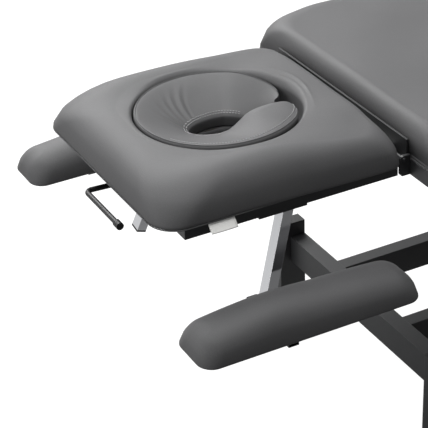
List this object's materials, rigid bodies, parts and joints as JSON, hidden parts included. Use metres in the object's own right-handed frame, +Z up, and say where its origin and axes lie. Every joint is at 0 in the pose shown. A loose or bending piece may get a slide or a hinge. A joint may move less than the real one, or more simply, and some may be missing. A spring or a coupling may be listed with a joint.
{
  "type": "massage table",
  "caption": "Height-adjustable massage table with a tilting head section, round face recess and loose face cushion, sliding armrests and a steel lift base.",
  "frame": {"origin": "on the floor under the middle of the overall box", "axes": "+X along the table towards the foot end, +Y to the left of a person lying on it face up with the head at -X, +Z up"},
  "size_m": [2.024, 0.82, 0.7043],
  "materials": {
    "graphite_vinyl": "fine-grained matt vinyl",
    "plywood": "sanded plywood",
    "black_powder_coat": "satin powder coat",
    "polished_chrome": "polished",
    "bright_steel": "turned",
    "black_plastic": "fine texture",
    "grey_aluminium": "anodised",
    "black_rubber": "matt",
    "white_fabric": "woven, plain"
  },
  "bodies": {
    "base": {"base_crossbar_head": "black_powder_coat", "base_crossbar_foot": "black_powder_coat", "base_rail_left": "black_powder_coat", "base_rail_right": "black_powder_coat", "base_posts": "black_powder_coat", "post_plugs": "black_plastic", "levelling_feet": "black_rubber", "lower_pivot_plates": "black_powder_coat", "lower_axles": "bright_steel", "actuator_rail": "black_powder_coat", "actuator_lugs": "black_powder_coat", "control_box": "black_plastic", "mains_inlet": "black_plastic"},
    "front_arms": {"front_arm_left": "black_powder_coat", "front_arm_right": "black_powder_coat", "front_arm_cross_tubes": "black_powder_coat", "lift_lever": "black_powder_coat"},
    "rear_arms": {"rear_arm_left": "black_powder_coat", "rear_arm_right": "black_powder_coat", "rear_arm_cross_tubes": "black_powder_coat"},
    "actuator": {"actuator_tube": "grey_aluminium", "actuator_motor": "black_plastic"},
    "actuator_push_rod": {"actuator_rod": "polished_chrome"},
    "top": {"upper_pivot_plates": "black_powder_coat", "upper_axles": "bright_steel", "top_rail_left": "black_powder_coat", "top_rail_right": "black_powder_coat", "top_front_rail": "black_powder_coat", "top_cross_rails": "black_powder_coat", "gap_strip": "black_powder_coat", "body_board": "plywood", "body_pad": "graphite_vinyl", "hinge_plates": "black_powder_coat", "spring_frame_lugs": "black_powder_coat"},
    "head": {"head_board": "plywood", "head_pad": "graphite_vinyl", "head_rail_left": "black_powder_coat", "head_rail_right": "black_powder_coat", "head_cross_rails": "black_powder_coat", "hinge_ears": "black_powder_coat", "spring_head_lugs": "black_powder_coat", "lever_bracket": "black_powder_coat", "armrest_mounting_plates": "black_powder_coat", "armrest_post_left": "polished_chrome", "armrest_post_right": "polished_chrome", "post_end_caps": "black_plastic", "fabric_tag": "white_fabric"},
    "cushion": {"face_cushion": "graphite_vinyl"},
    "lever": {"release_lever": "black_powder_coat", "lever_tip": "black_plastic"},
    "gas_spring_cylinder": {"spring_cylinder": "black_powder_coat"},
    "gas_spring_rod": {"spring_rod": "polished_chrome"},
    "armrest_left": {"armrest_bracket_left": "black_powder_coat", "armrest_left_board": "plywood", "armrest_left_pad": "graphite_vinyl"},
    "armrest_right": {"armrest_bracket_right": "black_powder_coat", "armrest_right_board": "plywood", "armrest_right_pad": "graphite_vinyl"},
    "knob_left": {"armrest_knob_left": "black_plastic"},
    "knob_right": {"armrest_knob_right": "black_plastic"}
  },
  "joints": [
    {"name": "lift_raise", "type": "hinge", "parent": "base", "child": "front_arms", "pos_m": [0.314, 0, 0.225], "axis": [0, 1, 0], "range_deg": [-18, 28]},
    {"name": "top_level", "type": "hinge", "parent": "front_arms", "child": "top", "pos_m": [-0.22505, 0, 0.57], "axis": [0, 1, 0], "range_deg": [-28, 18]},
    {"name": "rear_arms_raise", "type": "hinge", "parent": "base", "child": "rear_arms", "pos_m": [0.794, 0, 0.225], "axis": [0, 1, 0], "range_deg": [-18, 28]},
    {"name": "actuator_turn", "type": "hinge", "parent": "base", "child": "actuator", "pos_m": [0.144, 0, 0.225], "axis": [0, 1, 0], "range_deg": [-9, 14]},
    {"name": "push_rod_turn", "type": "hinge", "parent": "front_arms", "child": "actuator_push_rod", "pos_m": [0.3336, 0, 0.39387], "axis": [0, 1, 0], "range_deg": [-14, 9]},
    {"name": "head_tilt", "type": "hinge", "parent": "top", "child": "head", "pos_m": [-0.504, 0, 0.635], "axis": [0, 1, 0], "range_deg": [-30, 30]},
    {"name": "spring_cylinder_turn", "type": "hinge", "parent": "top", "child": "gas_spring_cylinder", "pos_m": [-0.39216, 0.06, 0.46919], "axis": [0, 1, 0], "range_deg": [-15, 15]},
    {"name": "spring_rod_turn", "type": "hinge", "parent": "head", "child": "gas_spring_rod", "pos_m": [-0.69806, 0.06, 0.58662], "axis": [0, 1, 0], "range_deg": [-15, 15]},
    {"name": "release_lever_pull", "type": "hinge", "parent": "head", "child": "lever", "pos_m": [-0.914, 0.027, 0.59], "axis": [0, 1, 0], "range_deg": [0, 10], "stiffness_Nm_per_rad": 4, "springref_deg": -5.73},
    {"name": "cushion_lift", "type": "slide", "parent": "head", "child": "cushion", "axis": [0, 0, 1], "range_m": [0, 0.08]},
    {"name": "armrest_left_height", "type": "slide", "parent": "head", "child": "armrest_left", "axis": [0.3232, -0.1548, 0.9336], "range_m": [-0.03, 0.1]},
    {"name": "armrest_right_height", "type": "slide", "parent": "head", "child": "armrest_right", "axis": [0.3232, 0.1548, 0.9336], "range_m": [-0.03, 0.1]},
    {"name": "knob_left_turn", "type": "hinge", "parent": "armrest_left", "child": "knob_left", "pos_m": [-0.79262, 0.23221, 0.40381], "axis": [0.0259, 0.9876, 0.1548], "range_deg": [-180, 180]},
    {"name": "knob_right_turn", "type": "hinge", "parent": "armrest_right", "child": "knob_right", "pos_m": [-0.79262, -0.23221, 0.40381], "axis": [-0.0259, 0.9876, -0.1548], "range_deg": [-180, 180]}
  ],
  "couplings": [
    {"joint": "top_level", "follows": "lift_raise", "ratio": -1},
    {"joint": "rear_arms_raise", "follows": "lift_raise", "ratio": 1},
    {"joint": "actuator_turn", "follows": "lift_raise", "ratio": 0.5},
    {"joint": "push_rod_turn", "follows": "lift_raise", "ratio": -0.5},
    {"joint": "spring_cylinder_turn", "follows": "head_tilt", "ratio": 0.5},
    {"joint": "spring_rod_turn", "follows": "head_tilt", "ratio": -0.5}
  ]
}
